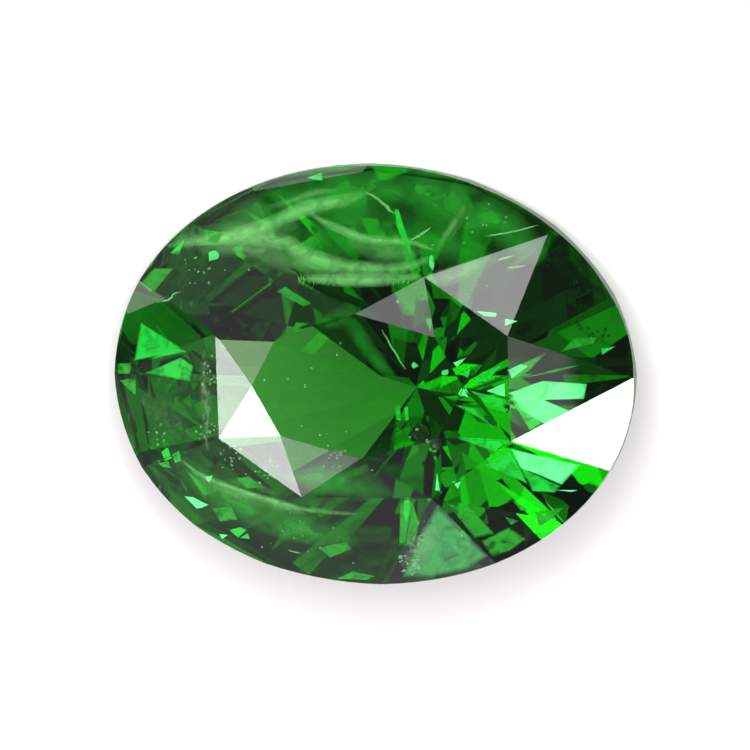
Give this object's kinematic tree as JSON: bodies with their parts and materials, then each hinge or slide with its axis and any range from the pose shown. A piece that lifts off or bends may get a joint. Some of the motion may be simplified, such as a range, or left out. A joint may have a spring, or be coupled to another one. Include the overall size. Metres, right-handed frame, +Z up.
{
  "type": "faceted tsavorite garnet",
  "caption": "Loose green garnet, cut as a wide oval with a small table, a faceted crown, a thin girdle and a deep pointed pavilion, lying on one of its long pavilion facets.",
  "frame": {"origin": "on the surface that the stone lies on, under the middle of its bounding box", "axes": "+Z up from the facet that the stone rests on; X along the stone's long axis; the table faces -Y and up"},
  "size_m": [0.0076, 0.005, 0.0039],
  "materials": {
    "stone": "polished"
  },
  "bodies": {
    "root": {"faceted_stone": "stone"}
  },
  "joints": []
}
